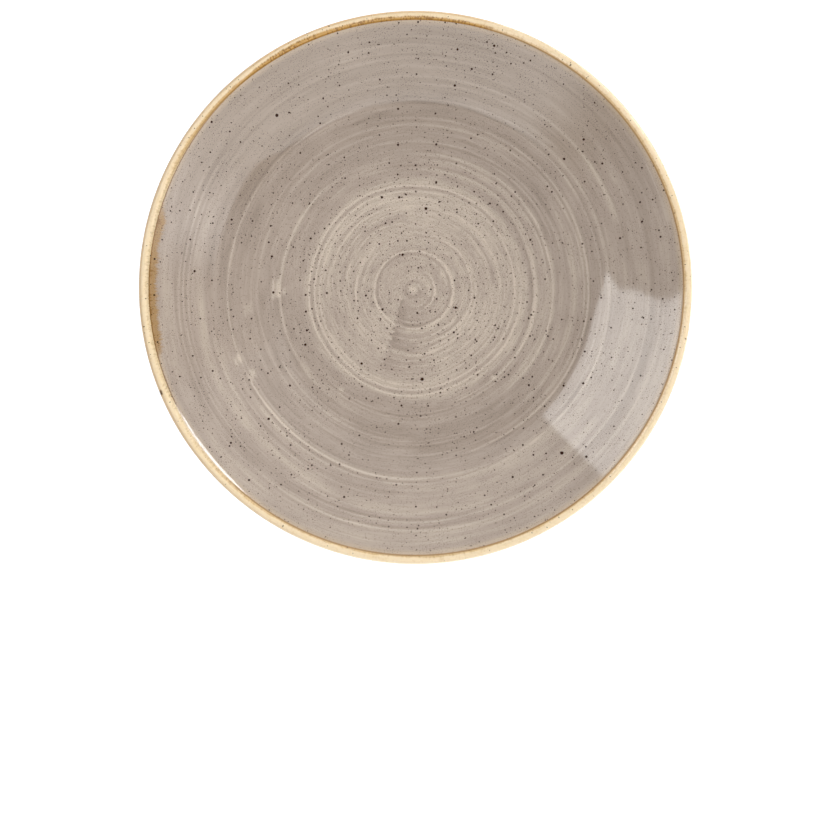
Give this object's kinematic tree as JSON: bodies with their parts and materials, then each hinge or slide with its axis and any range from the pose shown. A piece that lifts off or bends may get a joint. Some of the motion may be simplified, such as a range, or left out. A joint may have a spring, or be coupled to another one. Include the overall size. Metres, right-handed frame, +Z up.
{
  "type": "deep coupe plate",
  "caption": "Round deep coupe plate in glazed stoneware: a flared wall rises from a wide flat well to a rounded amber lip, on a low foot ring.",
  "frame": {"origin": "centre of the plane that the foot ring stands on", "axes": "+Z up along the plate's axis of revolution, X and Y in the plane of the table"},
  "size_m": [0.281, 0.281, 0.0415],
  "materials": {
    "bare_clay": "matt unglazed stoneware",
    "grey_glaze": "gloss warm grey glaze with brushed rings and fine dark specks",
    "amber_glaze": "gloss amber glaze breaking to cream over the lip",
    "ivory_glaze": "gloss ivory glaze"
  },
  "bodies": {
    "root": {"clay_body": "bare_clay", "face_glaze": "grey_glaze", "rim_glaze": "amber_glaze", "underside_glaze": "ivory_glaze", "base_glaze": "ivory_glaze"}
  },
  "joints": []
}
